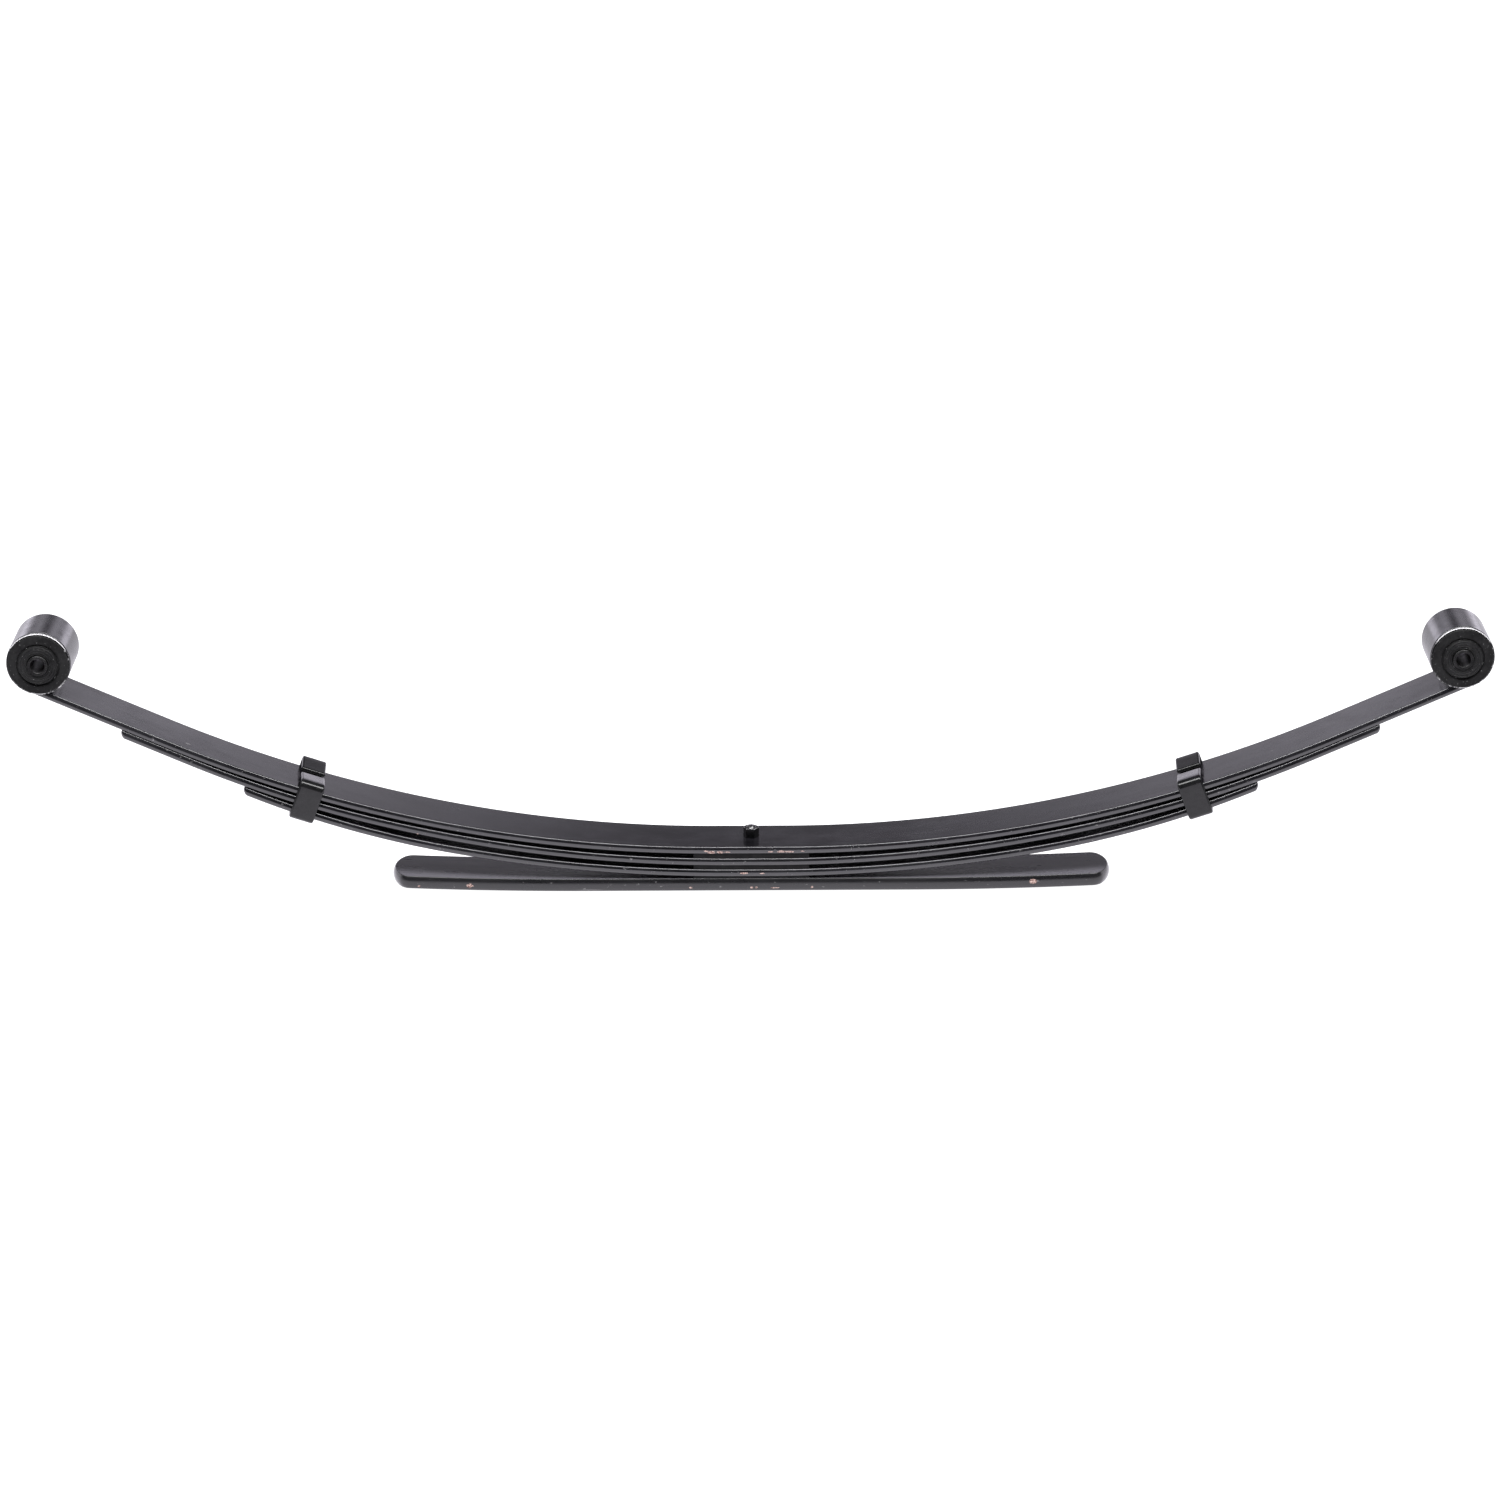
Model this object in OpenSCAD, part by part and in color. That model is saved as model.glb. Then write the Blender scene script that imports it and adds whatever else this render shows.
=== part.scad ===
// Double-eye leaf spring: three graduated leaves over one flat overload leaf,
// held by a centre tie bolt and two riveted rebound clips, with a bonded
// rubber bush in each rolled eye.
// X runs along the spring, Y across the leaves, Z up.
// The origin is on the tie bolt's axis, on the underside of the overload leaf.

/* [Leaves] */
// Width of every leaf
leaf_w = 63.5; // [60:0.5:70]
// Thickness of the main, second and third leaves
leaf_t = 7.9; // [7.5:0.1:8.2]
// Radius of the corners at the square-cut leaf tips, seen from above
tip_r = 5; // [3:0.5:8]

/* [Main leaf] */
// Radius of the main leaf's upper surface
main_r = 1362; // [1340:1:1400]
// Half length of the main leaf's flat centre
main_flat = 36; // [34:1:38]
// Angle that the main leaf reaches at its straight ends
main_a = 24.2; // [24:0.1:24.6]
// Length of each straight end, up to where the eye is rolled
main_end = 143.5; // [130:0.5:150]
// Inner radius of each rolled eye
eye_r = 24.6; // [24.6:0.1:25]
// Angle left open between the end of the roll and the leaf
eye_gap_a = 44; // [43:1:50]

/* [Second leaf] */
// Half length of the flat centre
second_flat = 21; // [20:0.5:22]
// Radius of the inner arc of the upper surface
second_r1 = 1429; // [1425:1:1440]
// Angle at the end of the inner arc
second_a1 = 14.68; // [14.6:0.01:14.75]
// Radius of the outer arc
second_r2 = 1172; // [1165:1:1180]
// Length of the straight tip that bears on the main leaf
second_tip = 77.5; // [70:0.5:80]

/* [Third leaf] */
// Half length of the flat centre
third_flat = 20.5; // [20:0.5:21]
// Radius of the inner arc of the upper surface
third_r1 = 1514; // [1510:1:1520]
// Angle at the end of the inner arc
third_a1 = 10.73; // [10.6:0.01:10.8]
// Radius of the outer arc
third_r2 = 975; // [970:1:990]
// Angle at the tip
third_a2 = 23.9; // [23:0.1:23.9]

/* [Overload leaf] */
// Thickness of the overload leaf
over_t = 13.5; // [12.5:0.1:14.5]
// Half length of the overload leaf
over_half = 368.5; // [340:0.5:372]
// Half length of its flat middle
over_flat = 165; // [150:1:180]
// Radius of its upturned ends
over_r = 4300; // [4000:10:5000]
// Plan radius of its rounded ends
over_end_r = 46; // [44:1:60]

/* [Centre] */
// Length of the centre liners
liner_l = 118; // [100:1:120]
// Width of the centre liners
liner_w = 59; // [55:0.5:63]
// Gap filled by the upper liner at the bolt
gap_upper = 5.0; // [4.9:0.1:5.4]
// Gap filled by the lower liner at the bolt
gap_lower = 4.1; // [4:0.1:4.4]
// Gap filled by the seat liner at the bolt
gap_seat = 2.0; // [1.8:0.1:3]
// Diameter of the tie bolt
bolt_d = 9.5; // [9:0.1:10]
// Diameter of the bolt holes in the leaves
bolt_hole_d = 10.3; // [10.2:0.1:11]
// Diameter of the round locating head under the spring
head_d = 15.9; // [14:0.1:19]
// Height of the locating head
head_h = 8; // [6:0.5:10]
// Nut size across its flats
nut_af = 14.3; // [14:0.1:15]
// Nut height
nut_h = 10; // [7:0.1:11]
// Turn of the nut about the bolt
nut_turn = 20; // [0:1:60]

/* [Rebound clips] */
// Distance of each clip from the tie bolt along X, measured on the third leaf
clip_x = 457.5; // [445:0.5:460]
// Width of the clip strap along the leaf
clip_w = 25.4; // [22:0.2:28]
// Thickness of the clip strap
clip_t = 4.5; // [4:0.1:5]
// Clearance between the clip and the sides of the leaves
clip_side = 1.6; // [1.6:0.1:2]
// Slant of each clip across the leaves, its +Y side set outwards
clip_yaw = 4; // [0:0.5:4]
// Height of the gap under the folded tabs
clip_head = 5.5; // [4:0.1:8]
// Gap between the two tab ends
clip_slot = 8; // [4:0.5:16]
// Inner bend radius of the clip
clip_bend = 0.5; // [0.4:0.1:0.5]
// Outer bend radius of the clip, where bending thins the strap
clip_bend_o = 6.5; // [5:0.1:7]
// Diameter of the clip rivet
rivet_d = 8; // [7:0.5:9]

/* [Bushes] */
// Wall of the outer steel sleeve
shell_t = 2.0; // [1.5:0.1:2.5]
// Radius of the outer sleeve's flange
shell_flange_r = 32.2; // [31:0.1:33]
// Thickness of the flange
shell_flange_t = 2.0; // [1.5:0.1:2.5]
// Radius of the rubber flange
rubber_flange_r = 31; // [29:0.5:31]
// Thickness of the rubber flange
rubber_flange_t = 1.8; // [1:0.1:3]
// Radius of the raised rubber hub
rubber_hub_r = 19.6; // [18:0.1:20.5]
// Height of the hub over the rubber flange
rubber_hub_h = 2.6; // [2:0.1:4]
// Outer radius of the inner sleeve
sleeve_ro = 10.4; // [9.8:0.1:11]
// Bore radius of the inner sleeve
sleeve_ri = 7.35; // [6.2:0.05:8]
// Stand-out of the inner sleeve past the rubber
sleeve_out = 1.4; // [0.5:0.1:3]

/* [Hidden] */
$fn = 96;

paint = [0.11, 0.11, 0.12];
steel = [0.62, 0.62, 0.64];
rubber = [0.06, 0.06, 0.06];
liner_c = [0.16, 0.16, 0.17];

hw = leaf_w / 2;
// heights of the leaves' upper surfaces at the tie bolt
z3 = over_t + gap_seat + leaf_t;
z2 = z3 + gap_lower + leaf_t;
z1 = z2 + gap_upper + leaf_t;

// end of an arc of radius r that starts at p with slope a and ends with slope b
function arc_end(p, r, a, b) = [p[0] + r * (sin(b) - sin(a)), p[1] + r * (cos(a) - cos(b))];
function along(p, s, a) = [p[0] + s * cos(a), p[1] + s * sin(a)];
// steps along each arc of a leaf, and round each eye
arc_n = 36;
roll_n = 106;

// main leaf
m1 = arc_end([main_flat, z1], main_r, 0, main_a);
m2 = along(m1, main_end, main_a);
eye = [m2[0] - eye_r * sin(main_a), m2[1] + eye_r * cos(main_a)];
eye_ro = eye_r + leaf_t;

// second leaf
s1 = arc_end([second_flat, z2], second_r1, 0, second_a1);
s2 = arc_end(s1, second_r2, second_a1, main_a);
s3 = along(s2, second_tip, main_a);

// third leaf
t1 = arc_end([third_flat, z3], third_r1, 0, third_a1);
t2 = arc_end(t1, third_r2, third_a1, third_a2);

// clip station on the third leaf's underside
clip_a = asin(sin(third_a1) + (clip_x - t1[0]) / (third_r2 + leaf_t));
tc = arc_end(t1, third_r2, third_a1, clip_a);
clip_p = [tc[0] + leaf_t * sin(clip_a), tc[1] - leaf_t * cos(clip_a)];
// stack height at the clip, from the third leaf's underside to the main leaf's top
ang_m = asin((clip_p[0] - main_flat) / main_r);
mc = arc_end([main_flat, z1], main_r, 0, ang_m);
stack = (mc[1] - clip_p[1]) * cos(clip_a) - (mc[0] - clip_p[0]) * sin(clip_a) + 0.6;

// ---- helpers ----------------------------------------------------------

// points of an arc that bends upwards from p, slope a to slope b, on radius r, set d below it
function arc_pts(p, r, a, b, n, d) = [for (i = [0:n]) let (q = a + (b - a) * i / n)
    [p[0] + r * (sin(q) - sin(a)) + d * sin(q), p[1] + r * (cos(a) - cos(q)) - d * cos(q)]];

// point at p on a surface of slope a, set d below it
function off(p, a, d) = [p[0] + d * sin(a), p[1] - d * cos(a)];

// side outline of a whole leaf from the upper and lower lines of its +X half
function outline(u, l) = concat(
    u,
    [for (i = [len(l) - 1:-1:0]) l[i]],
    [for (i = [1:len(l) - 1]) [-l[i][0], l[i][1]]],
    [for (i = [len(u) - 1:-1:1]) [-u[i][0], u[i][1]]]);

// leaf of the given side outline
module leaf(pts) {
    rotate([90, 0, 0]) linear_extrude(height = leaf_w, center = true) polygon(pts);
}

// both ends of something drawn on the +X side
module both() {
    children();
    mirror([1, 0, 0]) children();
}

// plan outline with rounded corners, for the leaf tips
module plan(l, r) {
    union() {
        square([l, leaf_w - 2 * r], center = true);
        square([l - 2 * r, leaf_w + 2], center = true);
        for (x = [-1, 1], y = [-1, 1]) translate([x * (l / 2 - r), y * (leaf_w / 2 - r)]) circle(r = r);
    }
}

module bolt_hole() {
    translate([0, 0, -20]) cylinder(r = bolt_hole_d / 2, h = 120);
}

// side region above a line that starts on the tie bolt's axis, with its mirror image
module above(pts) {
    l = pts[len(pts) - 1];
    polygon(concat(pts, [[l[0], 400], [-l[0], 400]],
        [for (i = [len(pts) - 1:-1:1]) [-pts[i][0], pts[i][1]]]));
}

// ---- leaves -----------------------------------------------------------

function main_arc(d) = concat(
    [[0, z1 - d]],
    arc_pts([main_flat, z1], main_r, 0, main_a, arc_n, d));

function main_line(d) = concat(
    main_arc(d),
    arc_pts(m2, eye_r, main_a, main_a + 360 - eye_gap_a, roll_n, d));

function second_line(d) = concat(
    [[0, z2 - d]],
    arc_pts([second_flat, z2], second_r1, 0, second_a1, arc_n, d),
    [for (i = [1:arc_n]) arc_pts(s1, second_r2, second_a1, main_a, arc_n, d)[i]],
    [off(s3, main_a, d)]);

function third_line(d) = concat(
    [[0, z3 - d]],
    arc_pts([third_flat, z3], third_r1, 0, third_a1, arc_n, d),
    [for (i = [1:arc_n]) arc_pts(t1, third_r2, third_a1, third_a2, arc_n, d)[i]]);

over_a = asin(over_half / over_r);

function over_line(d) = concat(
    [[0, over_t - d]],
    arc_pts([over_flat, over_t], over_r, 0, over_a, 12, d));

module main_leaf() {
    color(paint) difference() {
        leaf(outline(main_line(0), main_line(leaf_t)));
        bolt_hole();
    }
}

module second_leaf() {
    color(paint) difference() {
        intersection() {
            leaf(outline(second_line(0), second_line(leaf_t)));
            translate([0, 0, -10]) linear_extrude(height = 260) plan(2 * s3[0], tip_r);
        }
        bolt_hole();
    }
}

module third_leaf() {
    color(paint) difference() {
        intersection() {
            leaf(outline(third_line(0), third_line(leaf_t)));
            translate([0, 0, -10]) linear_extrude(height = 260) plan(2 * t2[0], tip_r);
        }
        bolt_hole();
        both() at_clip() translate([0, 0, -10]) cylinder(r = rivet_d / 2, h = 40);
    }
}

module overload_leaf() {
    color(paint) difference() {
        intersection() {
            leaf(outline(over_line(0), over_line(over_t)));
            translate([0, 0, -10]) linear_extrude(height = 60) union() {
                square([2 * (over_half - over_end_r), leaf_w + 2], center = true);
                for (s = [-1, 1]) intersection() {
                    translate([s * (over_half - over_end_r), 0]) circle(r = over_end_r, $fn = 180);
                    translate([s * (over_half - over_end_r / 2), 0]) square([over_end_r + 2, leaf_w + 2], center = true);
                }
            }
        }
        bolt_hole();
    }
}

// ---- centre -----------------------------------------------------------

// liner that fills the space from the line of the leaf below to that of the leaf above
module liner(lo, hi) {
    color(liner_c) difference() {
        rotate([90, 0, 0]) linear_extrude(height = liner_w, center = true) difference() {
            intersection() {
                translate([-liner_l / 2, lo[0][1] - 0.01]) square([liner_l, 20]);
                above(lo);
            }
            above(hi);
        }
        bolt_hole();
    }
}

module upper_liner() liner(second_line(0), main_arc(leaf_t));

module lower_liner() liner(third_line(0), second_line(leaf_t));

module seat_liner() {
    color(liner_c) difference() {
        translate([-liner_l / 2, -liner_w / 2, over_t]) cube([liner_l, liner_w, gap_seat]);
        bolt_hole();
    }
}

bolt_top = z1 + nut_h + 1.6;

module centre_bolt() {
    color(steel) union() {
        translate([0, 0, -head_h]) rotate_extrude() union() {
            square([head_d / 2 - 1, head_h]);
            translate([0, 1]) square([head_d / 2, head_h - 1]);
            translate([head_d / 2 - 1, 1]) circle(r = 1, $fn = 32);
        }
        cylinder(r = bolt_d / 2, h = bolt_top - 1);
        translate([0, 0, bolt_top - 1]) cylinder(r1 = bolt_d / 2, r2 = bolt_d / 2 - 1, h = 1);
    }
}

module centre_nut() {
    color(steel) translate([0, 0, z1]) rotate([0, 0, nut_turn]) difference() {
        intersection() {
            cylinder(r = nut_af / sqrt(3), h = nut_h, $fn = 6);
            union() {
                cylinder(r = nut_af / sqrt(3) + 0.1, h = nut_h - 1.2);
                translate([0, 0, nut_h - 1.2]) cylinder(r1 = nut_af / sqrt(3), r2 = nut_af / 2 - 0.2, h = 1.2);
            }
        }
        translate([0, 0, -1]) cylinder(r = bolt_d / 2 + 0.05, h = nut_h + 2);
    }
}

// ---- rebound clips ----------------------------------------------------

// local frame on the third leaf's underside at the clip, Z square to the leaf
module at_clip() translate([clip_p[0], 0, clip_p[1]]) rotate([0, -clip_a, 0]) children();

module round_box(w, h, r) {
    union() {
        translate([-w / 2 + r, 0]) square([w - 2 * r, h]);
        translate([-w / 2, r]) square([w, h - 2 * r]);
        for (x = [-1, 1], y = [r, h - r]) translate([x * (w / 2 - r), y]) circle(r = r, $fn = 64);
    }
}

module clip() {
    wi = leaf_w + 2 * clip_side;
    hi = stack + clip_head;
    at_clip() difference() {
        rotate([0, 0, -clip_yaw]) rotate([90, 0, 90]) linear_extrude(height = clip_w, center = true) difference() {
            translate([0, -clip_t]) round_box(wi + 2 * clip_t, hi + 2 * clip_t, clip_bend_o);
            round_box(wi, hi, clip_bend);
            translate([-clip_slot / 2, hi - 2]) square([clip_slot, clip_t + 4]);
        }
        translate([0, 0, -10]) cylinder(r = rivet_d / 2, h = 20);
    }
}

module rear_clip() color(paint) clip();
module front_clip() color(paint) mirror([1, 0, 0]) clip();

// rivet with a domed head under the clip and a flat head on the third leaf
module rivet() {
    at_clip() union() {
        translate([0, 0, -clip_t]) cylinder(r = rivet_d / 2, h = clip_t + leaf_t);
        translate([0, 0, leaf_t]) cylinder(r = rivet_d / 2 + 2.5, h = 1.8);
        translate([0, 0, -clip_t]) intersection() {
            translate([0, 0, 5.5]) sphere(r = 9.2);
            translate([0, 0, -4]) cylinder(r = 20, h = 4);
        }
    }
}

module rear_clip_rivet() color(steel) rivet();
module front_clip_rivet() color(steel) mirror([1, 0, 0]) rivet();

// ---- bushes -----------------------------------------------------------

// axis of the +X eye, turned so that +Z of the child points along -Y, to the flanged side
module at_eye() translate([eye[0], 0, eye[1]]) rotate([90, 0, 0]) children();

shell_ri = eye_r - shell_t;
rubber_face = hw + shell_flange_t + rubber_flange_t;
hub_face = rubber_face + rubber_hub_h;
far_hub = hw + 2.5;

module outer_sleeve() {
    at_eye() rotate_extrude() union() {
        translate([shell_ri, -hw]) square([shell_t - 0.02, leaf_w + shell_flange_t]);
        translate([shell_ri, hw]) square([shell_flange_r - shell_ri, shell_flange_t]);
    }
}

module rubber_bush() {
    ri = sleeve_ro + 0.05;
    at_eye() rotate_extrude() difference() {
        union() {
            translate([ri, -hw]) square([shell_ri - ri, leaf_w + shell_flange_t]);
            // flange over the sleeve's face
            translate([ri, hw + shell_flange_t]) square([rubber_flange_r - rubber_flange_t / 2 - ri, rubber_flange_t]);
            translate([rubber_flange_r - rubber_flange_t / 2, hw + shell_flange_t + rubber_flange_t / 2]) circle(r = rubber_flange_t / 2, $fn = 32);
            // raised hubs
            translate([ri, rubber_face - 0.1]) square([rubber_hub_r - 1.5 - ri, rubber_hub_h + 0.1]);
            translate([ri, rubber_face - 0.1]) square([rubber_hub_r - ri, rubber_hub_h + 0.1 - 1.5]);
            translate([rubber_hub_r - 1.5, hub_face - 1.5]) circle(r = 1.5, $fn = 32);
            translate([ri, -far_hub]) square([rubber_hub_r - ri, far_hub - hw + 0.1]);
        }
        // groove round the hub
        translate([rubber_hub_r + 1.1, rubber_face]) circle(r = 0.9, $fn = 32);
    }
}

module inner_sleeve() {
    l = hub_face + far_hub + 2 * sleeve_out;
    at_eye() translate([0, 0, -far_hub - sleeve_out]) difference() {
        cylinder(r = sleeve_ro, h = l);
        translate([0, 0, -1]) cylinder(r = sleeve_ri, h = l + 2);
    }
}

module rear_outer_sleeve() color(steel) outer_sleeve();
module front_outer_sleeve() color(steel) mirror([1, 0, 0]) outer_sleeve();
module rear_rubber_bush() color(rubber) rubber_bush();
module front_rubber_bush() color(rubber) mirror([1, 0, 0]) rubber_bush();
module rear_inner_sleeve() color(steel) inner_sleeve();
module front_inner_sleeve() color(steel) mirror([1, 0, 0]) inner_sleeve();

main_leaf();
second_leaf();
third_leaf();
overload_leaf();
upper_liner();
lower_liner();
seat_liner();
centre_bolt();
centre_nut();
front_clip();
rear_clip();
front_clip_rivet();
rear_clip_rivet();
front_outer_sleeve();
front_rubber_bush();
front_inner_sleeve();
rear_outer_sleeve();
rear_rubber_bush();
rear_inner_sleeve();
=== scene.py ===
import math

import bmesh
import bpy
import numpy as np
from mathutils import Matrix, Vector

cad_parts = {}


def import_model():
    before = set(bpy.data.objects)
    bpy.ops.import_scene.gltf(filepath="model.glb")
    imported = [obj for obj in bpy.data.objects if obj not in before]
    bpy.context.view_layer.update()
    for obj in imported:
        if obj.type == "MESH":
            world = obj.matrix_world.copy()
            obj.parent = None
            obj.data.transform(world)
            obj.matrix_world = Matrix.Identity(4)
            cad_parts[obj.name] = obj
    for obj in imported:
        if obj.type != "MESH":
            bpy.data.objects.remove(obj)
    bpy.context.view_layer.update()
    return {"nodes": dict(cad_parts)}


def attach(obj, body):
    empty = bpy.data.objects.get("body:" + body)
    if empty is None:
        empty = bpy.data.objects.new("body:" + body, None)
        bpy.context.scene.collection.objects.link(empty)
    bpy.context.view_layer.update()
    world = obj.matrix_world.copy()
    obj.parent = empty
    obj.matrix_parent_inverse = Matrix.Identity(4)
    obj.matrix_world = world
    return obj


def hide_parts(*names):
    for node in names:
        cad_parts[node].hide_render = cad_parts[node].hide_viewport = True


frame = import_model()

MM = 0.001
D = math.radians


# ---------------------------------------------------------------- dimensions (mm)
LEAF_W, LEAF_T = 63.5, 7.9
OVER_T = 13.5
Z3 = OVER_T + 2.0 + LEAF_T
Z2 = Z3 + 4.1 + LEAF_T
Z1 = Z2 + 5.0 + LEAF_T
HW = LEAF_W / 2
MAIN_A = D(24.2)
EYE_R = 24.6
CROWN = 0.2


class Line:
    """Upper line of a leaf's +X half: a chain of straights and arcs that bend upwards; returns x, z, slope at s."""

    def __init__(self, x, z, parts):
        self.parts = []
        s, a = 0.0, 0.0
        for kind, val, r in parts:
            if kind == "line":
                self.parts.append((s, s + val, "line", x, z, a, 0))
                x, z, s = x + val * math.cos(a), z + val * math.sin(a), s + val
            else:
                length = r * (val - a)
                self.parts.append((s, s + length, "arc", x, z, a, r))
                x, z = x + r * (math.sin(val) - math.sin(a)), z + r * (math.cos(a) - math.cos(val))
                s, a = s + length, val
        self.length, self.end = s, (x, z, a)

    def at(self, s):
        sg = -1.0 if s < 0 else 1.0
        s = abs(s)
        p = self.parts[-1]
        for q in self.parts:
            if s <= q[1]:
                p = q
                break
        s0, _, kind, x, z, a, r = p
        u = s - s0
        if kind == "line":
            return sg * (x + u * math.cos(a)), z + u * math.sin(a), sg * a
        b = a + u / r
        return (
            sg * (x + r * (math.sin(b) - math.sin(a))),
            z + r * (math.cos(a) - math.cos(b)),
            sg * b,
        )


main_line = Line(0, Z1, [("line", 36, 0), ("arc", MAIN_A, 1362), ("line", 143.5, 0), ("arc", MAIN_A + D(316), EYE_R - 0.01)])
m2x = 36 + 1362 * math.sin(MAIN_A) + 143.5 * math.cos(MAIN_A)
m2z = Z1 + 1362 * (1 - math.cos(MAIN_A)) + 143.5 * math.sin(MAIN_A)
EYE_X, EYE_Z = m2x - EYE_R * math.sin(MAIN_A), m2z + EYE_R * math.cos(MAIN_A)
second_line = Line(0, Z2, [("line", 21, 0), ("arc", D(14.68), 1429), ("arc", MAIN_A, 1172), ("line", 76.5, 0)])
third_line = Line(0, Z3, [("line", 20.5, 0), ("arc", D(10.73), 1514), ("arc", D(23.85), 975)])
over_line = Line(0, OVER_T, [("line", 165, 0), ("arc", math.asin(202.6 / 4300), 4300)])


# ---------------------------------------------------------------- mesh helpers
def make(name, verts, faces, mat, body="spring", replaces=(), sharp=38, smooth=True):
    me = bpy.data.meshes.new(name)
    me.from_pydata([tuple(c * MM for c in v) for v in verts], [], faces)
    bm = bmesh.new()
    bm.from_mesh(me)
    bmesh.ops.remove_doubles(bm, verts=bm.verts, dist=1e-6)
    bmesh.ops.dissolve_degenerate(bm, edges=bm.edges, dist=1e-7)
    bmesh.ops.recalc_face_normals(bm, faces=bm.faces)
    bm.to_mesh(me)
    bm.free()
    if smooth:
        me.shade_smooth()
        me.set_sharp_from_angle(angle=D(sharp))
    ob = bpy.data.objects.new(name, me)
    bpy.context.scene.collection.objects.link(ob)
    me.materials.append(mat)
    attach(ob, body)
    if replaces:
        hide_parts(*replaces)
    return ob


def edge_profile(t, r, beta, support=1.0):
    """(inset, depth) pairs round a rolled edge: flat top, corner, slightly convex side, corner, flat bottom."""
    sb, cb = math.sin(beta), math.cos(beta)
    rs = (t / 2 - r * (1 - sb)) / sb
    sag = rs * (1 - cb)
    i0 = sag + r * cb
    pts = [(i0 + support, 0.0), (i0 + 0.15, 0.0)]
    for k in range(0, 7):
        a = math.pi / 2 - (math.pi / 2 - beta) * k / 6
        pts.append((i0 - r * math.cos(a), r * (1 - math.sin(a))))
    for k in range(1, 8):
        a = beta - 2 * beta * k / 8
        pts.append((rs * (1 - math.cos(a)), t / 2 - rs * math.sin(a)))
    for k in range(0, 7):
        a = -beta - (math.pi / 2 - beta) * k / 6
        pts.append((i0 - r * math.cos(a), t - r * (1 + math.sin(a))))
    pts += [(i0 + 0.15, t), (i0 + support, t)]
    return pts


def half_outline(stations, hw, tip_r, tip_n=8):
    """Points (s, y, normal) of the y>0 half of a strip's plan, from end to end; tip corners rounded to tip_r."""
    s0, s1 = stations[0], stations[-1]
    out = []
    for k in range(tip_n + 1):
        f = math.pi / 2 * k / tip_n
        out.append((s0 + tip_r * (1 - math.cos(f)), hw - tip_r * (1 - math.sin(f)), -math.cos(f), math.sin(f)))
    for s in stations:
        if s0 + tip_r + 0.4 < s < s1 - tip_r - 0.4:
            out.append((s, hw, 0.0, 1.0))
    for k in range(tip_n + 1):
        f = math.pi / 2 * (1 - k / tip_n)
        out.append((s1 - tip_r * (1 - math.cos(f)), hw - tip_r * (1 - math.sin(f)), math.cos(f), math.sin(f)))
    return out


def strip(outline, profile, place, across=8):
    """Verts and faces of a strip: rings of the profile round the outline, closed over top and bottom."""
    n = len(outline)
    verts, faces = [], []
    for inset, depth in profile:
        for s, y, ns, ny in outline:
            verts.append(place(s - ns * inset, y - ny * inset, depth))
        for s, y, ns, ny in reversed(outline):
            verts.append(place(s - ns * inset, -(y - ny * inset), depth))
    m = 2 * n
    for k in range(len(profile) - 1):
        for i in range(m):
            j = (i + 1) % m
            faces.append((k * m + i, k * m + j, (k + 1) * m + j, (k + 1) * m + i))
    base = (len(profile) - 1) * m
    for i in range(n - 1):
        faces.append((base + i + 1, base + m - 2 - i, base + m - 1 - i, base + i))
    rows = [[i for i in range(n)]]
    inset, depth = profile[0]
    for k in range(1, across):
        u = 1 - 2 * k / across
        rows.append([len(verts) + i for i in range(n)])
        for s, y, ns, ny in outline:
            verts.append(place(s - ns * inset, (y - ny * inset) * u, depth))
    rows.append([m - 1 - i for i in range(n)])
    for r0, r1 in zip(rows, rows[1:]):
        for i in range(n - 1):
            faces.append((r0[i], r1[i], r1[i + 1], r0[i + 1]))
    return verts, faces


def on_line(line, t, square_tip=True):
    """Places (s, y, depth) on a leaf; the tip is cut upright, and the top is very slightly crowned."""

    def place(s, y, d):
        if square_tip:
            w = min(1.0, max(0.0, (abs(s) - line.length + 16) / 12))
            s -= math.copysign(w * d * math.tan(line.end[2]), s)
        x, z, a = line.at(s)
        d += CROWN * (y / HW) ** 2 * (1 - d / t)
        return (x + d * math.sin(a), y, z - d * math.cos(a))

    return place


def leaf_stations(line, step, extra=None):
    half = []
    for s0, s1, kind, *_rest in line.parts:
        st = step
        if kind == "arc" and _rest[3] < 100:
            st = _rest[3] * D(3.4)
        k = max(1, int(math.ceil((s1 - s0) / st)))
        half += [s0 + (s1 - s0) * i / k for i in range(k)]
    half.append(line.length)
    return [-s for s in reversed(half)] + half[1:]


def lathe(profile, centre, near, n=160, wave=None):
    """Ring of revolution about Y through centre. profile: closed list of (radius, axial), axial measured towards -Y when near is 1."""
    verts, faces = [], []
    m = len(profile)
    for i in range(n):
        th = 2 * math.pi * i / n
        for k, (r, a) in enumerate(profile):
            if wave:
                r, a = wave(k, r, a, th)
            verts.append((centre[0] + r * math.cos(th), -near * a, centre[1] + r * math.sin(th)))
    for i in range(n):
        j = (i + 1) % n
        for k in range(m):
            q = (k + 1) % m
            faces.append((i * m + k, i * m + q, j * m + q, j * m + k))
    return verts, faces


def lathe_z(profile, place, n=96, close=True):
    """Solid of revolution about a local Z; profile from (0,z) to (0,z) or a closed ring."""
    verts, faces, idx = [], [], []
    m = len(profile)
    for i in range(n):
        th = 2 * math.pi * i / n
        for r, z in profile:
            verts.append(place(r * math.cos(th), r * math.sin(th), z))
    for i in range(n):
        j = (i + 1) % n
        for k in range(m if close else m - 1):
            q = (k + 1) % m
            faces.append((i * m + k, i * m + q, j * m + q, j * m + k))
    if not close:
        faces.append([i * m for i in range(n)])
        faces.append([i * m + m - 1 for i in range(n)])
    return verts, faces


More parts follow.
